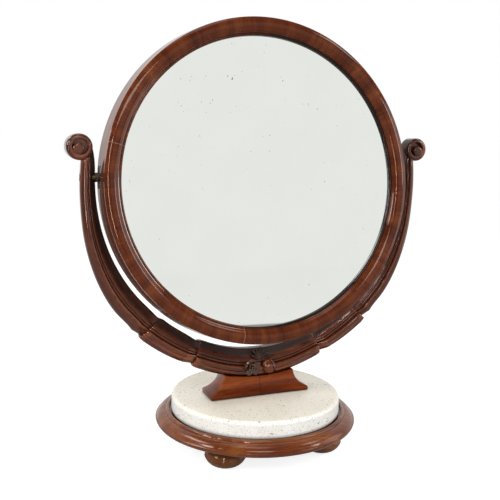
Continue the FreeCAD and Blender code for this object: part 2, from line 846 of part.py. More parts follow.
seat_block = box("seat_block", top_wide * 2, size("block_depth"), seat_ends - marble_high,
                 step(-top_wide, -half_deep, marble_high))
seat_round = cylinder("seat_round", seat_radius, size("block_depth"),
                      step(0, half_deep, yoke_centre, FORWARD, QUARTER_TURN))
seat_tool = cut("seat_tool", seat_block, seat_round)
grounds = {
    "left": (size("flower_base_radius"), reach, FLOWER),
    "right": (size("fruit_stem_radius"), reach, FRUIT),
}
for side_name, side in SIDES:
    outward = (ALONG, QUARTER_TURN * side)
    inward = (ALONG, -QUARTER_TURN * side)
    tools = [
        seat_tool,
        cylinder(side_name + "_pivot_bore", bush_radius, sink_place - spot_place,
                 step(spot_place * side, 0, pivot_height, *outward)),
        cylinder(side_name + "_pivot_sink", sink_radius, size("pivot_sink_depth") * 2,
                 step(sink_place * side, 0, pivot_height, *outward)),
        cylinder(side_name + "_spot_face", spot_radius, size("spot_face_reach"),
                 step(spot_place * side, 0, pivot_height, *inward)),
        cylinder(side_name + "_plinth_hole", size("plinth_dowel_radius"), dowel_length,
                 step(dowel_place * side, 0, dowel_low)),
        cylinder(side_name + "_carving_ground", *grounds[side_name]),
        cylinder(side_name + "_leaf_ground", size("leaf_stem_radius"), reach, LEAF),
    ]
    for level, height in centre_dowel_levels:
        tools.append(centre_dowel("%s_%s_hole" % (side_name, level), height))
    carving = carve_arm(side_name, side)
    nodes.append(cut("arm_" + side_name, carving, fuse(side_name + "_arm_tools", tools)))

nodes.append(group("centre_dowels", [
    centre_dowel("centre_dowel_" + level, height) for level, height in centre_dowel_levels]))
nodes.append(group("plinth_dowels", [
    cylinder("plinth_dowel_" + side_name, size("plinth_dowel_radius"), dowel_length,
             step(dowel_place * side, 0, dowel_low))
    for side_name, side in SIDES]))

petal_front = size("petal_front")
eye_size = size("flower_eye_radius")
petals = [cylinder("flower_base", size("flower_base_radius"), size("flower_base_depth"), FLOWER)]
for index in range(PETAL_COUNT):
    turn = FULL_TURN / PETAL_COUNT * index + QUARTER_TURN
    petals.append(ellipsoid(
        "petal_%d" % (index + 1), size("petal_thickness"), size("petal_length"), size("petal_width"),
        step(flower_place, -petal_front, flower_high, ALONG, turn),
        step(size("petal_reach"), 0, 0, FORWARD, QUARTER_TURN),
        step(0, 0, 0, ALONG, -size("petal_cup_angle"))))
petals.append(ellipsoid("flower_eye", eye_size, eye_size, eye_size,
                        step(flower_place, -petal_front - eye_size / 2, flower_high)))
nodes.append(fuse("flower_carving", petals))

fruit_front = size("fruit_front")
stem_length = fruit_front - ground + size("fruit_stem_radius")
lobes = [cylinder("fruit_stem", size("fruit_stem_radius"), stem_length, FRUIT)]
for name, radius, shift, drop in (
        ("fruit_large_lobe", size("large_lobe_radius"), -size("large_lobe_shift"), as_size(0)),
        ("fruit_small_lobe", size("small_lobe_radius"), size("small_lobe_shift"), size("small_lobe_drop"))):
    lobe = ellipsoid(name, radius, radius, radius,
                     step(fruit_place + shift, -fruit_front, fruit_high - drop, FORWARD, QUARTER_TURN))
    lobe.Angle1 = 0
    lobes.append(lobe)
nodes.append(fuse("fruit_carving", lobes))

leaves = [cylinder("leaf_stem", size("leaf_stem_radius"), size("leaf_stem_depth"), LEAF)]
leaf_offset = size("leaf_curve") - size("leaf_width") / 2
for index, lean in enumerate((-1, 0, 1)):
    leaf_turn = size("leaf_spread") * lean - QUARTER_TURN
    halves = [
        cylinder("leaf_%d_%s" % (index + 1, side_name), size("leaf_curve"), size("leaf_thickness"),
                 step(leaf_place, -size("leaf_front"), leaf_high, ALONG, leaf_turn),
                 step(size("leaf_reach"), 0, leaf_offset * side, FORWARD, QUARTER_TURN))
        for side_name, side in SIDES]
    leaf = doc.addObject("Part::MultiCommon", "leaf_%d" % (index + 1))
    leaf.Shapes = halves
    leaves.append(leaf)
nodes.append(fuse("leaf_sprig", leaves))

bolts = []
washers = []
washer_low = base_low + size("counterbore_depth") - size("bolt_washer_thickness")
head_low = washer_low - size("bolt_head_height")
bolt_length = marble_high + size("bolt_depth_in_block") - head_low
for side_name, side in SIDES:
    shank = cylinder("bolt_shank_" + side_name, size("bolt_radius"), bolt_length,
                     step(bolt_across * side, 0, head_low))
    head = doc.addObject("Part::Prism", "bolt_head_" + side_name)
    head.Polygon = BOLT_HEAD_SIDES
    bind(head, "Circumradius", size("bolt_head_radius"))
    bind(head, "Height", size("bolt_head_height"))
    seat(head, step(bolt_across * side, 0, head_low))
    bolts.append(fuse("bolt_" + side_name, [shank, head]))
    under_base = step(bolt_across * side, 0, washer_low)
    disc = cylinder("washer_disc_" + side_name, size("bolt_washer_radius"),
                    size("bolt_washer_thickness"), under_base)
    hole = cylinder("washer_hole_" + side_name, size("bolt_radius") + loose_clearance,
                    size("bolt_washer_thickness"), under_base)
    washers.append(cut("bolt_washer_" + side_name, disc, hole))
nodes.append(group("fixing_bolts", bolts))
nodes.append(group("bolt_washers", washers))

bush_length = sink_place - flange_place
for side_name, side in SIDES:
    outward = (ALONG, QUARTER_TURN * side)
    bush_start = step(flange_place * side, 0, pivot_height, *outward)
    washer_start = step(washer_place * side, 0, pivot_height, *outward)
    shell = cylinder("bush_shell_" + side_name, bush_radius, bush_length, bush_start)
    flange = cylinder("bush_flange_" + side_name, size("bush_flange_radius"),
                      size("bush_flange_thickness"), bush_start)
    way = cylinder("bush_way_" + side_name, size("pivot_radius") + fit_clearance, bush_length, bush_start)
    nodes.append(cut("pivot_bush_" + side_name, fuse("bush_blank_" + side_name, [shell, flange]), way))
    disc = cylinder("friction_disc_" + side_name, size("friction_washer_radius"),
                    size("friction_washer_thickness"), washer_start)
    way = cylinder("friction_way_" + side_name, size("pivot_radius") + loose_clearance,
                   size("friction_washer_thickness"), washer_start)
    nodes.append(cut("friction_washer_" + side_name, disc, way))

core_back = size("core_back")
core_front = -size("core_front")
rebate_floor = core_back - size("back_rebate_depth")
edge_round = size("core_edge_round")
hoop_inner = derive("hoop_inner_radius", hoop_radius - size("hoop_thickness"))
hoop_front = core_front - size("hoop_height")
hoop_round = size("hoop_edge_round")
frame_core = new_body("frame_core")
outline = profile(frame_core, "core_outline", "XY_Plane", (
    (glass_rebate, core_front),
    (hoop_inner, core_front),
    (hoop_inner, hoop_front),
    (hoop_radius - hoop_round, hoop_front),
    (hoop_radius, hoop_front + hoop_round),
    (core_radius, core_back - edge_round),
    (core_radius - edge_round, core_back),
    (back_rebate, core_back),
    (back_rebate, rebate_floor),
    (glass_rebate, rebate_floor),
), {3: (rounding(hoop_round), 1), 5: (rounding(edge_round), 1)})
revolve(frame_core, "core_turning", outline)
plate_under = plate_place - size("plate_thickness")
plate_half_wide = size("plate_width") / 2
plate_half_long = size("plate_length") / 2
plate_low = pivot_rise - plate_half_long
plate_high = pivot_rise + plate_half_long
screw_half = size("plate_screw_spacing") / 2
for side_name, side in SIDES:
    outline = profile(frame_core, "mortise_sketch_" + side_name, "YZ_Plane", (
        (-plate_half_wide, plate_low),
        (plate_half_wide, plate_low),
        (plate_half_wide, plate_high),
        (-plate_half_wide, plate_high),
    ), {}, plate_under * side)
    pocket(frame_core, "mortise_" + side_name, outline, size("plate_length"), side > 0)
    drill(frame_core, "pivot_hole_" + side_name, "YZ_Plane", plate_under * side, ((None, pivot_rise),),
          size("pivot_radius") + loose_clearance, size("pivot_reach"), side < 0)
    drill(frame_core, "plate_screw_holes_" + side_name, "YZ_Plane", plate_under * side,
          ((None, pivot_rise - screw_half), (None, pivot_rise + screw_half)),
          size("plate_screw_radius"), size("plate_screw_length"), side < 0)
board_circle = glass_rebate + size("back_ledge") / 2
board_step = FULL_TURN / BOARD_SCREW_COUNT
board_angles = [as_size(board_step * index + board_step / 2) for index in range(BOARD_SCREW_COUNT)]
board_places = [(board_circle * sine(angle), board_circle * cosine(angle)) for angle in board_angles]
drill(frame_core, "board_screw_holes", "XZ_Plane", -rebate_floor, board_places,
      size("board_screw_radius"), size("board_screw_length"), True)
seat(frame_core, TILT)
nodes.append(frame_core)

lip_front = core_front - size("lip_height")
lip_crown = lip_front - size("lip_rise")
lip_edge = sight_radius + size("lip_width")
cushion_radius = hoop_radius + size("cushion_overhang")
cushion_front = hoop_front - size("cushion_edge")
joints = [size("joint_" + word) for word in ("one", "two", "three", "four", "five", "six")]
for index, start in enumerate(joints):
    stop = joints[(index + 1) % len(joints)]
    span = stop - start
    if span.value < 0:
        span = span + FULL_TURN
    name = "frame_moulding_%d" % (index + 1)
    moulding = new_body(name)
    outline = profile(moulding, name + "_outline", "XY_Plane", (
        (sight_radius, core_front),
        (sight_radius, lip_front),
        (lip_edge, lip_crown),
        (cushion_radius, cushion_front),
        (cushion_radius, hoop_front),
        (hoop_inner, hoop_front),
        (hoop_inner, core_front),
    ), {
        1: (size("lip_bulge"), 1),
        2: (size("cushion_bulge"), 1),
    })
    revolve(moulding, name + "_turning", outline, span)
    seat(moulding, TILT, step(0, 0, 0, ALONG, start - QUARTER_TURN))
    nodes.append(moulding)

glass_back = core_front + size("glass_thickness")
nodes.append(cylinder("mirror_plate", glass_radius, size("glass_thickness"),
                      TILT, step(0, glass_back, 0, FORWARD, QUARTER_TURN)))

blocks = []
block_back = glass_back + size("glass_block_height")
for index in range(GLASS_BLOCK_COUNT):
    turn = FULL_TURN / GLASS_BLOCK_COUNT * index
    rings = []
    for name, radius in (("outer", glass_rebate), ("inner", glass_rebate - size("glass_block_width"))):
        ring = cylinder("glass_block_%s_%d" % (name, index + 1), radius, size("glass_block_height"),
                        TILT, step(0, block_back, 0, FORWARD, QUARTER_TURN), step(0, 0, 0, UPWARD, turn))
        bind(ring, "Angle", size("glass_block_angle"))
        rings.append(ring)
    blocks.append(cut("glass_block_%d" % (index + 1), *rings))
nodes.append(group("glass_blocks", blocks))

board_screws = []
board_holes = []
screw_radius = size("board_screw_radius")
screw_head = size("board_screw_head")
screw_sink = size("board_screw_sink")
screw_slot = size("board_screw_slot")
board_thickness = size("back_rebate_depth")
for index, (across, up) in enumerate(board_places):
    number = index + 1
    place = step(across, core_back, up, FORWARD, QUARTER_TURN)
    shank = cylinder("board_shank_%d" % number, screw_radius,
                     board_thickness + size("board_screw_length"), TILT, place)
    head = cone("board_head_%d" % number, screw_head, screw_radius, screw_sink, TILT, place)
    slot = box("board_slot_%d" % number, screw_head * 2, screw_slot, screw_sink, TILT, place,
               step(-screw_head, -screw_slot / 2, -screw_sink / 2))
    blank = fuse("board_screw_blank_%d" % number, [shank, head])
    board_screws.append(cut("board_screw_%d" % number, blank, slot))
    board_holes.append(cylinder("board_hole_%d" % number, screw_radius, board_thickness, TILT, place))
    board_holes.append(cone("board_sink_%d" % number, screw_head, screw_radius, screw_sink, TILT, place))
panel = cylinder("board_panel", back_rebate - size("board_gap"), board_thickness,
                 TILT, step(0, core_back, 0, FORWARD, QUARTER_TURN))
nodes.append(cut("backboard", panel, fuse("board_tools", board_holes)))
nodes.append(group("backboard_screws", board_screws))

plate_screws = []
plate_thickness = size("plate_thickness")
boss_length = plate_thickness + size("plate_boss_height")
pivot_inner = plate_place - size("pivot_reach")
head_start = sink_place + fit_clearance
slot_middle = head_start + size("pivot_head_height") - size("pivot_slot_depth") / 2
for side_name, side in SIDES:
    outward = (ALONG, QUARTER_TURN * side)
    inward = (ALONG, -QUARTER_TURN * side)
    boss_start = step(plate_under * side, 0, 0, *outward)
    leaf_start = (plate_place - plate_thickness / 2) * side - plate_thickness / 2
    leaf = box("plate_leaf_" + side_name, plate_thickness, size("plate_width"), size("plate_length"),
               PIVOT, step(leaf_start, -plate_half_wide, -plate_half_long))
    boss = cylinder("plate_boss_" + side_name, size("plate_boss_radius"), boss_length, PIVOT, boss_start)
    plate_tools = [cylinder("plate_way_" + side_name, size("pivot_radius"), boss_length, PIVOT, boss_start)]
    for word, way in (("upper", 1), ("lower", -1)):
        tag = "%s_%s" % (word, side_name)
        place = step(plate_place * side, 0, screw_half * way, *inward)
        plate_tools.append(cylinder("plate_hole_" + tag, size("plate_screw_radius"), plate_thickness,
                                    PIVOT, place))
        plate_tools.append(cone("plate_sink_" + tag, size("plate_screw_head"), size("plate_screw_radius"),
                                size("plate_screw_sink"), PIVOT, place))
        shank = cylinder("plate_shank_" + tag, size("plate_screw_radius"),
                         plate_thickness + size("plate_screw_length"), PIVOT, place)
        head = cone("plate_head_" + tag, size("plate_screw_head"), size("plate_screw_radius"),
                    size("plate_screw_sink"), PIVOT, place)
        plate_screws.append(fuse("plate_screw_" + tag, [shank, head]))
    plate = fuse("plate_blank_" + side_name, [leaf, boss])
    nodes.append(cut("pivot_plate_" + side_name, plate, fuse("plate_tools_" + side_name, plate_tools)))
    shank = cylinder("pivot_shank_" + side_name, size("pivot_radius"), head_start - pivot_inner,
                     PIVOT, step(pivot_inner * side, 0, 0, *outward))
    head = cylinder("pivot_head_" + side_name, size("pivot_head_radius"), size("pivot_head_height"),
                    PIVOT, step(head_start * side, 0, 0, *outward))
    slot = box("pivot_slot_" + side_name, size("pivot_slot_depth"), size("pivot_slot_width"),
               size("pivot_head_radius") * 2, PIVOT,
               step(slot_middle * side - size("pivot_slot_depth") / 2,
                    -size("pivot_slot_width") / 2, -size("pivot_head_radius")))
    nodes.append(cut("pivot_screw_" + side_name, fuse("pivot_blank_" + side_name, [shank, head]), slot))
nodes.append(group("pivot_plate_screws", plate_screws))

doc.recompute()
faults = [item.Label for item in doc.Objects if "Invalid" in item.State or "Error" in item.State]
faults += [node.Label for node in nodes if node.Shape.isNull() or not node.Shape.isValid()]
if faults:
    raise RuntimeError("objects that did not build: " + ", ".join(faults))
os.makedirs("parts", exist_ok=True)
for node in nodes:
    node.Shape.exportStep("parts/%s.step" % node.Label)
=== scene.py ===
import math

import bpy
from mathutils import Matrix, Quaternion, Vector


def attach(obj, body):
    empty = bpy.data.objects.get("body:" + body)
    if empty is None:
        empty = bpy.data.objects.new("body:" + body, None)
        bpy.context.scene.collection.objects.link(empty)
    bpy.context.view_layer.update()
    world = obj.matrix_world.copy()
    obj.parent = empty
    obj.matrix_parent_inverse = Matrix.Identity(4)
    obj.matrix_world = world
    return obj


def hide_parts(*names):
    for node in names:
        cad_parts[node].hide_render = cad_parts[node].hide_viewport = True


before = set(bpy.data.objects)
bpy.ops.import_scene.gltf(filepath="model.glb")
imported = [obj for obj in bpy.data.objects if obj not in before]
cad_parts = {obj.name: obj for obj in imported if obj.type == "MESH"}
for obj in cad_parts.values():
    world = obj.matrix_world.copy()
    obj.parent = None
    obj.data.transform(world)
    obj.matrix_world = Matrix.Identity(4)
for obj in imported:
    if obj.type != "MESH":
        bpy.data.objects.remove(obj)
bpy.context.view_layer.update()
bpy.ops.object.select_all(action="DESELECT")

# Bun feet: four turned mahogany feet, French polished to a dark red brown.
# Each is turned on the lathe with its spigot and glued into a socket under the base.
FOOT_COLOURS = ((0.070, 0.022, 0.008), (0.140, 0.048, 0.016), (0.220, 0.084, 0.030))
FOOT_GLOSS = 0.22
LONG_GRAIN = (0.12, 1.0, 1.0)
GRAIN_SHADE = (0.30, 0.24, 0.22)
# Painted shade for the hollows where faces meet, also standing for old wax and dust.
HOLLOW_PAINTED_SHADE = (0.10, 0.07, 0.06)
NO_SHADE = (1.0, 1.0, 1.0)
WOOD_HOLLOW_SHADE_REACH = 0.007
POLISH_TINT = (1.0, 0.82, 0.76, 1.0)


class ShaderNodes:
    """The shader nodes of one material, or of the surroundings."""

    def __init__(self, tree):
        self.tree = tree

    def feed(self, socket, value):
        """Links another node's output to a socket, or sets a plain value on it."""
        if isinstance(value, bpy.types.NodeSocket):
            self.tree.links.new(value, socket)
        else:
            socket.default_value = value

    def add(self, kind, sockets=None, **options):
        """A node of this kind, with its options set and its sockets fed."""
        node = self.tree.nodes.new(kind)
        for name, value in options.items():
            setattr(node, name, value)
        for socket, value in (sockets or {}).items():
            self.feed(node.inputs[socket], value)
        return node

    def maths(self, operation, *values):
        return self.add("ShaderNodeMath", dict(enumerate(values)), operation=operation).outputs["Value"]

    def vectors(self, operation, *values):
        return self.add("ShaderNodeVectorMath", dict(enumerate(values)), operation=operation).outputs

    def split(self, vector):
        return self.add("ShaderNodeSeparateXYZ", {"Vector": vector}).outputs

    def spread(self, value, low=0.0, high=1.0, start=0.0, end=1.0):
        """Runs from low to high while the value runs from start to end."""
        sockets = {"Value": value, "From Min": start, "From Max": end, "To Min": low, "To Max": high}
        return self.add("ShaderNodeMapRange", sockets).outputs["Result"]


class Finish(ShaderNodes):
    """A surface finish, from the colour to the polish."""

    def __init__(self, name):
        self.material = bpy.data.materials.new(name)
        self.material.use_nodes = True
        super().__init__(self.material.node_tree)
        self.shader = self.tree.nodes["Principled BSDF"]
        coordinates = self.add("ShaderNodeTexCoord").outputs
        self.place = coordinates["Object"]
        self.facing = coordinates["Normal"]

    def stretched(self, place, scale):
        return self.add("ShaderNodeMapping", {"Vector": place, "Scale": scale}).outputs["Vector"]

    def grain(self, place, scale, detail, distortion=0.0):
        sockets = {"Vector": place, "Scale": scale, "Detail": detail, "Distortion": distortion}
        return self.add("ShaderNodeTexNoise", sockets).outputs["Fac"]

    def ramp(self, factor, *stops):
        """Colours along a factor; each stop is a place and a colour."""
        node = self.add("ShaderNodeValToRGB", {"Fac": factor})
        points = node.color_ramp.elements
        while len(points) < len(stops):
            points.new(1.0)
        for point, (place, colour) in zip(points, stops):
            point.position = place
            point.color = (*colour, 1.0)
        return node.outputs["Color"]

    def set(self, name, value):
        self.feed(self.shader.inputs[name], value)

    def colour(self):
        """The colour laid so far."""
        return self.shader.inputs["Base Color"].links[0].from_socket

    def darken(self, shade, amount=1.0):
        """Lays a shade over the colour so far."""
        sockets = {"Factor": amount, "A": self.colour(), "B": shade}
        mix = self.add("ShaderNodeMix", sockets, data_type="RGBA", blend_type="MULTIPLY")
        self.set("Base Color", mix.outputs["Result"])

    def paint_shade_in_hollows(self, reach):
        """Painted shade where faces meet, found by ambient occlusion within this reach; it also stands for old
        wax and dust.
        """
        hollow = self.add("ShaderNodeAmbientOcclusion", {"Distance": reach}).outputs["AO"]
        self.darken(self.ramp(hollow, (0.30, HOLLOW_PAINTED_SHADE), (0.85, NO_SHADE)), amount=0.9)

    def paint_edge_light_and_hollow_shade(self, *stops):
        """Painted shade in the hollows and painted highlight on the edges, by how far a place stands out; it
        also stands for edges rubbed pale.
        """
        standing_out = self.add("ShaderNodeNewGeometry").outputs["Pointiness"]
        self.darken(self.ramp(standing_out, *stops))

    def dent(self, height, strength, depth):
        bump = self.add("ShaderNodeBump", {"Strength": strength, "Distance": depth, "Height": height})
        self.set("Normal", bump.outputs["Normal"])

    def lay_on(self, *names):
        for name in names:
            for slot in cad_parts[name].material_slots:
                slot.material = self.material


def polished_mahogany(name, colours, gloss, stretch=LONG_GRAIN, place_of=None):
    """French-polished mahogany with its figure, straight grain and filled pores, and painted shade in the
    hollows that also stands for old wax.
    """
    finish = Finish(name)
    along = finish.stretched(place_of(finish) if place_of else finish.place, stretch)
    figure = finish.grain(along, scale=30.0, detail=3.0, distortion=0.5)
    fibre = finish.grain(along, scale=420.0, detail=5.0)
    pores = finish.grain(along, scale=1500.0, detail=2.0)
    dark, middle, light = colours
    finish.set("Base Color", finish.ramp(figure, (0.30, dark), (0.50, middle), (0.72, light)))
    finish.darken(finish.ramp(fibre, (0.35, GRAIN_SHADE), (0.60, NO_SHADE)), amount=0.40)
    finish.darken(finish.ramp(pores, (0.34, GRAIN_SHADE), (0.42, NO_SHADE)), amount=0.45)
    finish.paint_shade_in_hollows(WOOD_HOLLOW_SHADE_REACH)
    finish.set("Roughness", finish.spread(fibre, low=0.05, high=0.11))
    finish.set("Specular IOR Level", gloss)
    finish.set("Specular Tint", POLISH_TINT)
    finish.dent(pores, strength=0.025, depth=0.0003)
    return finish


turned_mahogany = polished_mahogany("turned_mahogany", FOOT_COLOURS, FOOT_GLOSS)
turned_mahogany.lay_on("foot_front_left", "foot_front_right", "foot_rear_left", "foot_rear_right")

# Base: a round mahogany board, turned with a nosing, a convex slope and a bead round the recess.
# It is polished like the feet, takes their spigots from below and carries the marble in its recess.
BASE_COLOURS = ((0.085, 0.015, 0.002), (0.150, 0.034, 0.004), (0.230, 0.072, 0.012))
BASE_GLOSS = 0.45
BASE_ARRIS = 0.0006
WELD_REACH = 0.00001
SHARP_ANGLE = math.radians(38.0)
base_mahogany = polished_mahogany("base_mahogany", BASE_COLOURS, BASE_GLOSS)
handling = base_mahogany.grain(base_mahogany.place, scale=60.0, detail=3.0)
base_mahogany.set("Roughness", base_mahogany.spread(handling, low=0.10, high=0.24))
base_mahogany.lay_on("base_board")


def ease_arrises(width, *names):
    """Takes the sharpness off the edges, as sandpaper and polish do, so that they catch the light."""
    for name in names:
        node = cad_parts[name]
        weld = node.modifiers.new("joined", "WELD")
        weld.merge_threshold = WELD_REACH
        ease = node.modifiers.new("eased_arrises", "BEVEL")
        ease.width = width
        ease.segments = 2
        ease.limit_method = "ANGLE"
        ease.angle_limit = SHARP_ANGLE


ease_arrises(BASE_ARRIS, "base_board")

# Marble slab: a round slab of white marble with eased edges, honed and lightly polished.
# It lies loose in the recess of the base.
MARBLE_GREY = (0.745, 0.722, 0.668)
MARBLE_BODY = (0.795, 0.78, 0.734)
MARBLE_WHITE = (0.825, 0.815, 0.785)
VEIN_SHADE = (0.72, 0.72, 0.70)
SPECK_SHADE = (0.24, 0.23, 0.23)
SPECK_STRETCH = (0.7, 1.0, 1.0)
PEPPER_SHADE = (0.55, 0.54, 0.52)
UPWARD_FACE_TONE = (1.0, 0.965, 0.885)
MARBLE_HOLLOW_SHADE_REACH = 0.009
MARBLE_SCATTER = (0.004, 0.004, 0.0035)
marble = Finish("white_marble")
cloud = marble.grain(marble.place, scale=9.0, detail=6.0, distortion=1.2)
vein = marble.grain(marble.place, scale=24.0, detail=8.0, distortion=2.5)
speck = marble.grain(marble.stretched(marble.place, SPECK_STRETCH), scale=215.0, detail=3.0)
pepper = marble.grain(marble.place, scale=420.0, detail=2.0)
upward = marble.split(marble.facing)["Z"]
marble.set("Base Color", marble.ramp(cloud, (0.30, MARBLE_GREY), (0.55, MARBLE_BODY), (0.75, MARBLE_WHITE)))
marble.darken(marble.ramp(vein, (0.46, NO_SHADE), (0.49, VEIN_SHADE), (0.52, NO_SHADE)), amount=0.30)
marble.darken(marble.ramp(speck, (0.305, SPECK_SHADE), (0.350, NO_SHADE)), amount=0.8)
marble.darken(marble.ramp(pepper, (0.33, PEPPER_SHADE), (0.42, NO_SHADE)), amount=0.7)
# Faces that look up are made a little darker and warmer than the sides.
marble.darken(marble.ramp(upward, (0.55, NO_SHADE), (0.95, UPWARD_FACE_TONE)))
# Painted shade where the slab meets the base and the block.
marble.paint_shade_in_hollows(MARBLE_HOLLOW_SHADE_REACH)
marble.set("Roughness", marble.spread(cloud, low=0.28, high=0.42))
marble.set("Specular IOR Level", 0.4)
marble.set("Subsurface Weight", 0.12)
marble.set("Subsurface Radius", MARBLE_SCATTER)
marble.dent(speck, strength=0.10, depth=0.0003)
marble.lay_on("marble_slab")

# Fixing bolts: two square-headed steel bolts with round washers, let into the underside of the base.
# They pass through the board and the marble into the plinth block.
STEEL_DARK = (0.05, 0.045, 0.04)
STEEL_BRIGHT = (0.16, 0.15, 0.14)
bolt_steel = Finish("bolt_steel")
mill_scale = bolt_steel.grain(bolt_steel.place, scale=300.0, detail=5.0)
bolt_steel.set("Base Color", bolt_steel.ramp(mill_scale, (0.35, STEEL_DARK), (0.65, STEEL_BRIGHT)))
bolt_steel.set("Metallic", 1.0)
bolt_steel.set("Roughness", bolt_steel.spread(mill_scale, low=0.35, high=0.6))
bolt_steel.dent(mill_scale, strength=0.2, depth=0.0002)
bolt_steel.lay_on("fixing_bolts", "bolt_washers")

# Plinth block: a mahogany block with flared faces, a nosing and a joint down the middle, scribed to the yoke.
# It stands on the marble, drawn down by the two bolts, and holds the yoke by two pine dowels.
BLOCK_COLOURS = ((0.042, 0.006, 0.001), (0.140, 0.023, 0.002), (0.300, 0.072, 0.006))
BLOCK_GLOSS = 0.25
BLOCK_ARRIS = 0.0008
BLOCK_JOINT_HALF_WIDTH = 0.0009
BLOCK_JOINT_SHADE = (0.35, 0.30, 0.30)
PINE_DARK = (0.23, 0.125, 0.055)
PINE_MIDDLE = (0.36, 0.22, 0.105)
PINE_LIGHT = (0.45, 0.30, 0.16)
UPRIGHT_GRAIN = (1.0, 1.0, 0.07)
block_mahogany = polished_mahogany("block_mahogany", BLOCK_COLOURS, BLOCK_GLOSS)
beside_joint = block_mahogany.maths("ABSOLUTE", block_mahogany.split(block_mahogany.place)["X"])
off_joint = block_mahogany.spread(beside_joint, end=BLOCK_JOINT_HALF_WIDTH)
block_mahogany.darken(block_mahogany.ramp(off_joint, (0.2, BLOCK_JOINT_SHADE), (1.0, NO_SHADE)))
block_mahogany.lay_on("plinth_block")
ease_arrises(BLOCK_ARRIS, "plinth_block")
pine = Finish("pine")
pine_figure = pine.grain(pine.stretched(pine.place, UPRIGHT_GRAIN), scale=150.0, detail=6.0, distortion=0.6)
pine.set("Base Color", pine.ramp(pine_figure, (0.35, PINE_DARK), (0.55, PINE_MIDDLE), (0.70, PINE_LIGHT)))
pine.set("Roughness", pine.spread(pine_figure, low=0.55, high=0.75))
pine.dent(pine_figure, strength=0.25, depth=0.0005)
pine.lay_on("plinth_dowels")

# Yoke: two carved mahogany arms with lapped husks, reeds and scrolled ends, butted on the centre line.
# They are joined by pine dowels, scribed down on the block and French polished; the inner band that faces the
# middle carries painted shade.
YOKE_COLOURS = ((0.050, 0.012, 0.006), (0.118, 0.030, 0.012), (0.215, 0.062, 0.024))
YOKE_GLOSS = 0.5
YOKE_ARRIS = 0.0007
YOKE_CENTRE_HEIGHT = 0.462
CURVE_RADIUS = 0.30
INNER_BAND_PAINTED_SHADE = (0.12, 0.10, 0.10)
PAINTED_SHADE_FACING = -0.40
UNSHADED_FACING = -0.05
PAINTED_SHADE_DEPTH = -0.0062
UNSHADED_DEPTH = -0.0085
REED_HOLLOW_PAINTED_SHADE = (0.44, 0.41, 0.39)
REED_FACE_PAINTED_SHADE = (0.52, 0.48, 0.46)


def round_place(finish, centre_height, lean):
    """The place on the yoke or the frame as arc length, depth and radius, so that grain follows the curve."""
    sockets = {"Vector": finish.place, "Location": (0.0, 0.0, centre_height), "Rotation": (lean, 0.0, 0.0)}
    level = finish.add("ShaderNodeMapping", sockets, vector_type="TEXTURE").outputs["Vector"]
    apart = finish.split(level)
    arc = finish.maths("MULTIPLY", finish.maths("ARCTAN2", apart["X"], apart["Z"]), CURVE_RADIUS)
    flat = finish.add("ShaderNodeCombineXYZ", {"X": apart["X"], "Z": apart["Z"]}).outputs["Vector"]
    radius = finish.vectors("LENGTH", flat)["Value"]
    return finish.add("ShaderNodeCombineXYZ", {"X": arc, "Y": apart["Y"], "Z": radius}).outputs["Vector"]


def yoke_place(finish):
    return round_place(finish, YOKE_CENTRE_HEIGHT, 0.0)


def facing_out(finish, centre_height):
    """How far a face looks away from the middle of the curve: 1 is straight out and -1 straight in."""
    from_middle = finish.vectors("SUBTRACT", finish.place, (0.0, 0.0, centre_height))["Vector"]
    level_way = finish.vectors("MULTIPLY", from_middle, (1.0, 0.0, 1.0))["Vector"]
    radial_way = finish.vectors("NORMALIZE", level_way)["Vector"]
    return finish.vectors("DOT_PRODUCT", finish.facing, radial_way)["Value"]


yoke_mahogany = polished_mahogany("yoke_mahogany", YOKE_COLOURS, YOKE_GLOSS, place_of=yoke_place)
# Painted shade on the inner band, where faces turn to the middle of the curve and lie back behind the reeds.
looks_out = yoke_mahogany.spread(
    facing_out(yoke_mahogany, YOKE_CENTRE_HEIGHT), start=PAINTED_SHADE_FACING, end=UNSHADED_FACING)
in_front = yoke_mahogany.spread(
    yoke_mahogany.split(yoke_mahogany.place)["Y"], start=PAINTED_SHADE_DEPTH, end=UNSHADED_DEPTH)
out_of_band_shade = yoke_mahogany.maths("MAXIMUM", looks_out, in_front)
yoke_mahogany.darken(yoke_mahogany.ramp(out_of_band_shade, (0.0, INNER_BAND_PAINTED_SHADE), (1.0, NO_SHADE)))
# Painted shade in the reeds' hollows, with the arrises left light as a painted highlight.
yoke_mahogany.paint_edge_light_and_hollow_shade((0.49, REED_HOLLOW_PAINTED_SHADE), (0.52, REED_FACE_PAINTED_SHADE), (0.58, NO_SHADE))
yoke_mahogany.set("Roughness", yoke_mahogany.spread(out_of_band_shade, low=0.45, high=0.07))
yoke_mahogany.lay_on("arm_left", "arm_right")
ease_arrises(YOKE_ARRIS, "arm_left", "arm_right")
pine.lay_on("centre_dowels")

# Rose: an open flower of two rows of cupped petals round a ringed eye, on the joint of the two arms.
# It is carved from a scrap of the same mahogany, glued in a shallow seat and polished.
ROSE_COLOURS = ((0.030, 0.007, 0.003), (0.080, 0.020, 0.007), (0.170, 0.052, 0.019))
ROSE_GLOSS = 0.8
PETAL_HOLLOW_PAINTED_SHADE = (0.05, 0.04, 0.04)
PETAL_FACE_PAINTED_SHADE = (0.40, 0.36, 0.36)
ROSE_CENTRE = (-0.0165, -0.0235, 0.140)
PETAL_COUNT = 5
OUTER_PETAL = (0.0062, 0.0034, 0.0070)
OUTER_REACH = 0.0088
INNER_PETAL = (0.0040, 0.0026, 0.0042)
INNER_REACH = 0.0050
INNER_RISE = 0.0028
PETAL_FRONT = 0.8
CUP_DEPTH = 0.0024
CUP_SPREAD = 0.85
PETAL_TIP = 0.72
TIP_CURL = 0.55
EYE_RADIUS = 0.0022
EYE_WIRE = 0.0011
EYE_RISE = 0.00448
CALYX_RADIUS = 0.0108
CALYX_LENGTH = 0.0105
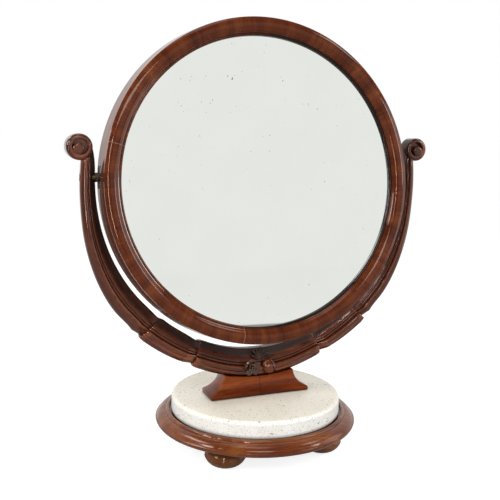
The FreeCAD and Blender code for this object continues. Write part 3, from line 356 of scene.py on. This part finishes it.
CALYX_PLACE = (0.0, 0.0063, 0.0)
CALYX_NECK_END = 0.003
CALYX_NECK_SHARE = 0.55
CALYX_ARRIS = 0.0006
PEG_SIDES = 20
FRONT_TO_BACK = (math.pi / 2, 0.0, 0.0)


def pick(piece, wanted):
    """Selects the corners whose place is wanted and stays in edit mode."""
    bpy.ops.object.mode_set(mode="EDIT")
    bpy.ops.mesh.select_mode(type="VERT")
    bpy.ops.mesh.select_all(action="DESELECT")
    bpy.ops.object.mode_set(mode="OBJECT")
    for corner in piece.data.vertices:
        corner.select = wanted(corner.co)
    bpy.ops.object.mode_set(mode="EDIT")


def pull(way, reach):
    """Moves the picked corners, and those within reach of them less and less."""
    bpy.ops.transform.translate(
        value=way, use_proportional_edit=True, proportional_edit_falloff="SMOOTH", proportional_size=reach)


def round_peg(sides, radius, length, place):
    """A round peg that runs from front to back."""
    bpy.ops.mesh.primitive_cylinder_add(
        vertices=sides, radius=radius, depth=length, location=place, rotation=FRONT_TO_BACK)
    bpy.ops.object.transform_apply(location=True, rotation=True, scale=True)
    return bpy.context.object


def ease_peg(width):
    """Rounds the edges of the peg that is being worked on."""
    bpy.ops.object.mode_set(mode="EDIT")
    bpy.ops.mesh.select_all(action="SELECT")
    bpy.ops.mesh.bevel(offset=width, segments=2)
    bpy.ops.object.mode_set(mode="OBJECT")


def cupped_petal(half_size, reach, rise, turn):
    """One petal that leans out from the middle, hollowed in front and turned to its place round the eye."""
    wide, thick, high = half_size
    bpy.ops.mesh.primitive_uv_sphere_add(segments=16, ring_count=10, radius=1.0)
    petal = bpy.context.object
    bpy.ops.object.mode_set(mode="EDIT")
    bpy.ops.transform.resize(value=half_size)
    pick(petal, lambda place: place.y < -thick * PETAL_FRONT)
    pull((0.0, CUP_DEPTH, 0.0), wide * CUP_SPREAD)
    pick(petal, lambda place: place.z > high * PETAL_TIP)
    pull((0.0, -thick * TIP_CURL, 0.0), high)
    bpy.ops.mesh.select_all(action="SELECT")
    bpy.ops.transform.translate(value=(0.0, -rise, reach))
    bpy.ops.transform.rotate(value=turn, orient_axis="Y", center_override=(0.0, 0.0, 0.0))
    bpy.ops.object.mode_set(mode="OBJECT")
    return petal


def finish_piece(name, parts, place, finish, node):
    """Joins the carved parts, rounds them, sets them in place and lets them stand for the CAD node."""
    bpy.ops.object.select_all(action="DESELECT")
    for part in parts:
        part.select_set(True)
    bpy.context.view_layer.objects.active = parts[0]
    bpy.ops.object.join()
    piece = bpy.context.object
    piece.name = name
    smooth = piece.modifiers.new("rounding", "SUBSURF")
    smooth.levels = 1
    smooth.render_levels = 1
    bpy.ops.object.modifier_apply(modifier=smooth.name)
    piece.location = place
    bpy.ops.object.transform_apply(location=True, rotation=True, scale=True)
    bpy.ops.object.shade_smooth()
    piece.data.materials.clear()
    piece.data.materials.append(finish.material)
    bpy.ops.object.select_all(action="DESELECT")
    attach(piece, "stand")
    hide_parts(node)


carved_mahogany = polished_mahogany("carved_mahogany", ROSE_COLOURS, ROSE_GLOSS)
# Painted shade between the petals, with their rims left light as a painted highlight.
carved_mahogany.paint_edge_light_and_hollow_shade((0.45, PETAL_HOLLOW_PAINTED_SHADE), (0.50, PETAL_FACE_PAINTED_SHADE), (0.57, NO_SHADE))
rose_parts = []
for number in range(PETAL_COUNT):
    outer_turn = math.tau * number / PETAL_COUNT
    inner_turn = outer_turn + math.pi / PETAL_COUNT
    rose_parts.append(cupped_petal(OUTER_PETAL, OUTER_REACH, 0.0, outer_turn))
    rose_parts.append(cupped_petal(INNER_PETAL, INNER_REACH, INNER_RISE, inner_turn))
bpy.ops.mesh.primitive_torus_add(
    major_radius=EYE_RADIUS, minor_radius=EYE_WIRE, major_segments=20, minor_segments=8,
    location=(0.0, -EYE_RISE, 0.0), rotation=FRONT_TO_BACK)
bpy.ops.object.transform_apply(location=True, rotation=True, scale=True)
rose_parts.append(bpy.context.object)
calyx = round_peg(PEG_SIDES, CALYX_RADIUS, CALYX_LENGTH, CALYX_PLACE)
pick(calyx, lambda place: place.y < CALYX_NECK_END)
bpy.ops.transform.resize(value=(CALYX_NECK_SHARE, 1.0, CALYX_NECK_SHARE))
ease_peg(CALYX_ARRIS)
rose_parts.append(calyx)
finish_piece("rose", rose_parts, ROSE_CENTRE, carved_mahogany, "flower_carving")

# Fruit: a round fruit with a cleft down its right side, carved in the same wood beside the rose.
# Its short stalk is glued into a seat cut across the reeds.
FRUIT_COLOURS = ((0.050, 0.009, 0.003), (0.105, 0.022, 0.006), (0.180, 0.046, 0.014))
FRUIT_GLOSS = 0.6
FRUIT_CENTRE = (0.0165, -0.0195, 0.1375)
FRUIT_RADIUS = 0.0132
CLEFT_PLACE = 0.0048
CLEFT_HALF_WIDTH = 0.0011
CLEFT_BOTTOM = CLEFT_HALF_WIDTH * 0.3
CLEFT_LIP = CLEFT_HALF_WIDTH * 0.5
CLEFT_SHARE = 0.74
CLEFT_NORMAL = (0.96, 0.0, 0.28)
RIGHT_LOBE_SHARE = 1.06
UNDERSIDE = 0.95
DIMPLE_DEPTH = 0.0012
DIMPLE_REACH = FRUIT_RADIUS * 0.5
FRUIT_STALK_RADIUS = 0.0078
FRUIT_STALK_LENGTH = 0.012
FRUIT_STALK_PLACE = (0.0, 0.0021, 0.0)
STALK_ARRIS = 0.0005


def beyond_cleft(place):
    """How far a corner lies to the right of the bottom of the cleft."""
    return (place.x - CLEFT_PLACE) * CLEFT_NORMAL[0] + place.z * CLEFT_NORMAL[2]


fruit_mahogany = polished_mahogany("fruit_mahogany", FRUIT_COLOURS, FRUIT_GLOSS)
bpy.ops.mesh.primitive_uv_sphere_add(segments=32, ring_count=20, radius=FRUIT_RADIUS)
fruit = bpy.context.object
bpy.ops.object.mode_set(mode="EDIT")
for offset in (-CLEFT_HALF_WIDTH, 0.0, CLEFT_HALF_WIDTH):
    bpy.ops.mesh.select_all(action="SELECT")
    bpy.ops.mesh.bisect(plane_co=(CLEFT_PLACE + offset, 0.0, 0.0), plane_no=CLEFT_NORMAL)
pick(fruit, lambda place: abs(beyond_cleft(place)) < CLEFT_BOTTOM)
bpy.ops.transform.resize(value=(1.0, CLEFT_SHARE, CLEFT_SHARE))
pick(fruit, lambda place: beyond_cleft(place) > CLEFT_LIP)
bpy.ops.transform.resize(value=(1.0, RIGHT_LOBE_SHARE, RIGHT_LOBE_SHARE))
pick(fruit, lambda place: place.z < -FRUIT_RADIUS * UNDERSIDE)
pull((0.0, 0.0, DIMPLE_DEPTH), DIMPLE_REACH)
bpy.ops.object.mode_set(mode="OBJECT")
fruit_stalk = round_peg(PEG_SIDES, FRUIT_STALK_RADIUS, FRUIT_STALK_LENGTH, FRUIT_STALK_PLACE)
ease_peg(STALK_ARRIS)
finish_piece("fruit", [fruit, fruit_stalk], FRUIT_CENTRE, fruit_mahogany, "fruit_carving")

# Leaf spray: pointed leaves that rise and spread between the rose and the fruit, each with a sunk midrib.
# They are carved in one with a short stalk, which is glued into the joint of the arms.
SHADED_LEAF_COLOURS = ((0.006, 0.002, 0.001), (0.014, 0.004, 0.002), (0.030, 0.008, 0.003))
LEAF_GLOSS = 0.45
SPRAY_FOOT = (0.0010, -0.0150, 0.1500)
SPRAY_LEAVES = (
    (-58.0, 0.0088), (-34.0, 0.0110), (-14.0, 0.0098), (6.0, 0.0120),
    (30.0, 0.0096), (52.0, 0.0108), (76.0, 0.0118))
LEAF_HALF_WIDTH = 0.0031
LEAF_THICKNESS = 0.0016
LEAF_LEAN = math.radians(12.0)
LEAF_ROWS = 9
LEAF_POINT_SHARE = 0.12
LEAF_BELLY_SHARE = 0.98
LEAF_BELLY_SHIFT = 0.8
LEAF_END = 0.9
LEAF_CURL = 0.0016
MIDRIB_SHARE = 0.06
MIDRIB_DEPTH = 0.0011
SPRAY_STALK_PLACE = (-0.0035, 0.0067, 0.0105)
SPRAY_STALK_RADIUS = 0.0044
SPRAY_STALK_LENGTH = 0.0092
SPRAY_STALK_SIDES = 16
# The leaves are a far darker copy of the carved mahogany: painted shade for where they sit below the frame,
# between the rose and the fruit.
shaded_leaf_mahogany = polished_mahogany("shaded_leaf_mahogany", SHADED_LEAF_COLOURS, LEAF_GLOSS)
spray_parts = []
for turn, half_length in SPRAY_LEAVES:
    bpy.ops.mesh.primitive_grid_add(x_subdivisions=4, y_subdivisions=LEAF_ROWS - 1, size=2.0)
    leaf = bpy.context.object
    bpy.ops.object.mode_set(mode="EDIT")
    bpy.ops.transform.resize(value=(LEAF_HALF_WIDTH, half_length, 1.0))
    for row in range(LEAF_ROWS):
        share = row / (LEAF_ROWS - 1)
        row_place = half_length * (2.0 * share - 1.0)
        row_width = LEAF_POINT_SHARE + LEAF_BELLY_SHARE * math.sin(math.pi * share ** LEAF_BELLY_SHIFT)
        pick(leaf, lambda place: abs(place.y - row_place) < half_length / LEAF_ROWS)
        bpy.ops.transform.resize(value=(row_width, 1.0, 1.0))
    pick(leaf, lambda place: abs(place.x) < LEAF_HALF_WIDTH * MIDRIB_SHARE)
    bpy.ops.transform.translate(value=(0.0, 0.0, -MIDRIB_DEPTH))
    pick(leaf, lambda place: place.y > half_length * LEAF_END)
    pull((0.0, 0.0, LEAF_CURL), half_length)
    bpy.ops.mesh.select_all(action="SELECT")
    bpy.ops.mesh.solidify(thickness=LEAF_THICKNESS)
    bpy.ops.mesh.select_all(action="SELECT")
    bpy.ops.transform.translate(value=(0.0, half_length, 0.0))
    bpy.ops.object.mode_set(mode="OBJECT")
    leaf.rotation_euler = (math.pi / 2 - LEAF_LEAN, math.radians(turn), 0.0)
    bpy.ops.object.transform_apply(location=True, rotation=True, scale=True)
    spray_parts.append(leaf)
spray_parts.append(round_peg(SPRAY_STALK_SIDES, SPRAY_STALK_RADIUS, SPRAY_STALK_LENGTH, SPRAY_STALK_PLACE))
ease_peg(STALK_ARRIS)
finish_piece("leaf_spray", spray_parts, SPRAY_FOOT, shaded_leaf_mahogany, "leaf_sprig")

# Pivot bushes: flanged brass bushes, turned, blackened with age and pressed into the arms.
# A leather washer on each rubs on the frame and holds the mirror where it is set.
BRASS_BLACK = (0.015, 0.010, 0.006)
BRASS_BROWN = (0.060, 0.042, 0.022)
BRASS_BRIGHT = (0.150, 0.105, 0.052)
LEATHER_DARK = (0.012, 0.008, 0.006)
LEATHER_LIGHT = (0.045, 0.028, 0.018)
pivot_brass = Finish("pivot_brass")
tarnish = pivot_brass.grain(pivot_brass.place, scale=160.0, detail=6.0)
pivot_brass.set("Base Color", pivot_brass.ramp(
    tarnish, (0.30, BRASS_BLACK), (0.55, BRASS_BROWN), (0.75, BRASS_BRIGHT)))
pivot_brass.set("Metallic", 1.0)
pivot_brass.set("Roughness", pivot_brass.spread(tarnish, low=0.45, high=0.25))
pivot_brass.dent(tarnish, strength=0.15, depth=0.0002)
pivot_brass.lay_on("pivot_bush_left", "pivot_bush_right")
washer_leather = Finish("washer_leather")
hide = washer_leather.grain(washer_leather.place, scale=700.0, detail=4.0)
washer_leather.set("Base Color", washer_leather.ramp(hide, (0.35, LEATHER_DARK), (0.65, LEATHER_LIGHT)))
washer_leather.set("Roughness", washer_leather.spread(hide, low=0.6, high=0.8))
washer_leather.dent(hide, strength=0.4, depth=0.0004)
washer_leather.lay_on("friction_washer_left", "friction_washer_right")

# Frame core: the round mahogany ring that carries the glass, the back and the pivots.
# It is turned with rebates for the moulding, the glass and the backboard, and its edge is highly polished.
# Behind the moulding the edge shows as a pale band, because it mirrors the backdrop.
CORE_COLOURS = ((0.060, 0.017, 0.010), (0.115, 0.038, 0.021), (0.190, 0.075, 0.045))
CORE_GLOSS = 1.0
FRAME_CENTRE_HEIGHT = 0.4621
FRAME_LEAN = math.radians(-5.5)


def frame_place(finish):
    return round_place(finish, FRAME_CENTRE_HEIGHT, FRAME_LEAN)


core_mahogany = polished_mahogany("core_wood", CORE_COLOURS, CORE_GLOSS, place_of=frame_place)
core_mahogany.lay_on("frame_core")

# Frame moulding: six lengths of cushion moulding, cross-banded so that the grain runs from glass to edge.
# They are butted round the ring and polished, with the joints filled and painted shade along the sight edge.
# That painted shade stands for a blackened rebate and its dark reflection in the glass, and fades out towards
# the left.
MOULDING_COLOURS = ((0.052, 0.009, 0.002), (0.090, 0.018, 0.004), (0.140, 0.035, 0.009))
MOULDING_GLOSS = 0.26
CROSS_GRAIN = (1.0, 0.12, 0.12)
JOINT_HALF_WIDTH = 0.0004
PALE_FILLER = (0.25, 0.13, 0.08, 1.0)
DARK_FILLER = (0.012, 0.004, 0.002, 1.0)
JOINTS = (
    (-170.0, PALE_FILLER), (-76.0, PALE_FILLER), (-14.0, DARK_FILLER), (49.0, DARK_FILLER), (119.0, DARK_FILLER))
LIP_RADIUS = 0.250
LIP_BLUR = 0.0003
SIGHT_EDGE_PAINTED_SHADE = (0.08, 0.10, 0.12)
SIGHT_SHADE_FADES_FROM = 0.04
SIGHT_SHADE_GONE_AT = -0.12
banded_mahogany = polished_mahogany(
    "cross_banded_mahogany", MOULDING_COLOURS, MOULDING_GLOSS, CROSS_GRAIN, frame_place)
on_ring = banded_mahogany.split(frame_place(banded_mahogany))
for angle, filler in JOINTS:
    joint_arc = math.radians(angle) * CURVE_RADIUS
    at_joint = banded_mahogany.maths("COMPARE", on_ring["X"], joint_arc, JOINT_HALF_WIDTH)
    filled = banded_mahogany.add(
        "ShaderNodeMix", {"Factor": at_joint, "A": banded_mahogany.colour(), "B": filler}, data_type="RGBA")
    banded_mahogany.set("Base Color", filled.outputs["Result"])
# Painted shade on the lip inside this radius, on all but the left side.
off_lip = banded_mahogany.spread(on_ring["Z"], start=LIP_RADIUS - LIP_BLUR, end=LIP_RADIUS + LIP_BLUR)
left_unshaded = banded_mahogany.spread(
    banded_mahogany.split(banded_mahogany.place)["X"], start=SIGHT_SHADE_FADES_FROM, end=SIGHT_SHADE_GONE_AT)
out_of_sight_shade = banded_mahogany.maths("MAXIMUM", off_lip, left_unshaded)
banded_mahogany.darken(banded_mahogany.ramp(out_of_sight_shade, (0.0, SIGHT_EDGE_PAINTED_SHADE), (1.0, NO_SHADE)))
banded_mahogany.set("Roughness", banded_mahogany.spread(out_of_sight_shade, low=0.20, high=0.07))
banded_mahogany.lay_on(*("frame_moulding_%d" % number for number in range(1, 7)))

# Looking glass: an old silvered plate, faintly grey green, with specks where the silvering has gone.
# It lies in its rebate behind the moulding, held by rubbed pine blocks, and has most specks in its upper half.
SILVER_DULL = (0.775, 0.80, 0.755)
SILVER_CLEAR = (0.790, 0.812, 0.768)
FOX_SHADE = (0.16, 0.15, 0.13)
SOUND_BELOW = 0.32
FOXED_ABOVE = 0.55
SOUND_LIFT = 0.03
looking_glass = Finish("looking_glass")
haze = looking_glass.grain(looking_glass.place, scale=14.0, detail=4.0)
spots = looking_glass.grain(looking_glass.place, scale=230.0, detail=2.0)
glass_height = looking_glass.split(looking_glass.place)["Z"]
sound = looking_glass.spread(glass_height, low=SOUND_LIFT, high=0.0, start=SOUND_BELOW, end=FOXED_ABOVE)
fox = looking_glass.maths("ADD", spots, sound)
looking_glass.set("Base Color", looking_glass.ramp(haze, (0.35, SILVER_DULL), (0.65, SILVER_CLEAR)))
looking_glass.darken(looking_glass.ramp(fox, (0.235, FOX_SHADE), (0.262, NO_SHADE)))
looking_glass.set("Metallic", 1.0)
looking_glass.set("Roughness", looking_glass.spread(haze, low=0.015, high=0.035))
looking_glass.lay_on("mirror_plate")
pine.lay_on("glass_blocks")

# Backboard: a round pine panel that lies in the back rebate and covers the silvering.
# It is left unpolished and held by eight slotted steel screws.
pine.lay_on("backboard")
bolt_steel.lay_on("backboard_screws")

# Pivot plates: brass plates let into the edge of the ring, each held by two screws.
# A slotted brass screw runs through the arm's bush into the plate, and the mirror turns on it.
pivot_brass.lay_on("pivot_plate_left", "pivot_plate_right", "pivot_screw_left", "pivot_screw_right")
bolt_steel.lay_on("pivot_plate_screws")

# Floor: a plain studio floor that runs into the white background and keeps the soft shadow.
# It is a painted board, pale grey to the lamps and white to the camera.
FLOOR_SIZE = 60.0
FLOOR_GREY = (0.40, 0.40, 0.40, 1.0)
WHITE = (1.0, 1.0, 1.0, 1.0)
FLOOR_SEEN = 0.82
FLOOR_IN_FRONT = 0.085
FLOOR_BEHIND = 0.80
FLOOR_RISE_START = 0.1
FLOOR_RISE_END = 0.7


def light_levels(nodes, lit, mirrored, seen):
    """One level for the light that falls on things, one for their reflections and one for the camera."""
    ray = nodes.add("ShaderNodeLightPath").outputs
    unseen = nodes.spread(ray["Is Glossy Ray"], lit, mirrored)
    return nodes.spread(ray["Is Camera Ray"], unseen, seen)


bpy.ops.mesh.primitive_plane_add(size=FLOOR_SIZE)
floor = bpy.context.object
floor.name = "floor"
floor_paint = Finish("floor_paint")
floor_paint.set("Base Color", FLOOR_GREY)
floor_paint.set("Roughness", 0.9)
floor_paint.set("Specular IOR Level", 0.0)
floor_paint.set("Emission Color", WHITE)
floor_mirrored = floor_paint.spread(
    floor_paint.split(floor_paint.place)["Y"], FLOOR_IN_FRONT, FLOOR_BEHIND,
    start=FLOOR_RISE_START, end=FLOOR_RISE_END)
floor_paint.set("Emission Strength", light_levels(floor_paint, 0.0, floor_mirrored, FLOOR_SEEN))
floor.data.materials.append(floor_paint.material)

# Surroundings: a white backdrop behind the mirror and a dimmer room in front of it.
# The camera sees plain white; reflections see the backdrop and the room, and an even light falls on all sides.
ROOM_LEVEL = 0.28
ROOM_END = -0.10
BACKDROP_LEVEL = 1.0
BACKDROP_START = 0.35
EVEN_LIGHT = 0.45
BACKGROUND_SEEN = 1.0
world = bpy.data.worlds.new("studio")
bpy.context.scene.world = world
world.use_nodes = True
studio = ShaderNodes(world.node_tree)
background = world.node_tree.nodes["Background"].inputs
around = studio.add("ShaderNodeTexCoord").outputs["Generated"]
room = studio.spread(studio.split(around)["Y"], ROOM_LEVEL, BACKDROP_LEVEL, start=ROOM_END, end=BACKDROP_START)
studio.feed(background["Color"], WHITE)
studio.feed(background["Strength"], light_levels(studio, EVEN_LIGHT, room, BACKGROUND_SEEN))

# Lamps: soft boxes in front, on each side, overhead and high on each side, a strip, a panel and a white card.
# The card is what the looking glass mirrors towards the camera.
# Each row gives the name, the place, the aim, the width, the height and the power in watts.
LAMPS = (
    ("key_box", (-0.45, -1.75, 1.40), (0.0, 0.0, 0.35), 0.90, 0.40, 10.0),
    ("left_box", (-1.5, -0.4, 0.95), (0.0, 0.0, 0.20), 0.50, 0.50, 11.0),
    ("right_box", (1.3, -1.0, 0.80), (0.0, 0.0, 0.20), 0.30, 0.50, 5.0),
    ("top_box", (-0.2, -0.3, 2.2), (0.0, 0.0, 0.30), 0.9, 0.7, 5.0),
    ("left_strip", (-1.00, -1.65, 0.62), (0.0, 0.0, 0.46), 0.04, 1.1, 12.0),
    ("high_left_box", (-1.10, 0.50, 1.45), (0.0, 0.0, 0.15), 0.80, 0.40, 9.0),
    ("high_right_box", (1.10, -0.40, 1.55), (0.0, 0.0, 0.15), 0.50, 0.36, 3.0),
    ("right_panel", (1.45, -0.45, 0.50), (0.0, 0.0, 0.46), 0.80, 1.2, 5.5),
    ("glass_card", (0.87, -2.12, 0.82), (0.0, 0.0, 0.474), 2.0, 1.6, 7.2),
)
for name, place, aim, wide, high, power in LAMPS:
    light = bpy.data.lights.new(name, "AREA")
    light.shape = "RECTANGLE"
    light.size = wide
    light.size_y = high
    light.energy = power
    lamp = bpy.data.objects.new(name, light)
    lamp.location = place
    lamp.rotation_euler = (Vector(aim) - Vector(place)).to_track_quat("-Z", "Y").to_euler()
    bpy.context.scene.collection.objects.link(lamp)

# Camera: stands in front and to the left, a little above the base, as in the photograph.
# It is turned a little about its own axis and aimed between the glass and the yoke.
AZIMUTH = math.radians(-22.23)
ELEVATION = math.radians(9.24)
ROLL = math.radians(1.15)
DISTANCE = 1.32491
AIM = Vector((-0.01578, 0.0, 0.34578))
SENSOR_WIDTH = 36.0
FOCAL_LENGTH = 54.68
back = Vector((
    math.sin(AZIMUTH) * math.cos(ELEVATION), -math.cos(AZIMUTH) * math.cos(ELEVATION), math.sin(ELEVATION)))
lens = bpy.data.cameras.new("camera")
lens.sensor_width = SENSOR_WIDTH
lens.sensor_fit = "HORIZONTAL"
lens.lens = FOCAL_LENGTH
camera = bpy.data.objects.new("camera", lens)
camera.location = AIM + back * DISTANCE
camera.rotation_mode = "QUATERNION"
camera.rotation_quaternion = Quaternion(back, ROLL) @ (-back).to_track_quat("-Z", "Y")
bpy.context.scene.collection.objects.link(camera)
bpy.context.scene.camera = camera
bpy.context.scene.view_settings.view_transform = "Standard"

# Sizes: the scene is brought up to date, so that every piece stands in its place.
bpy.context.view_layer.update()
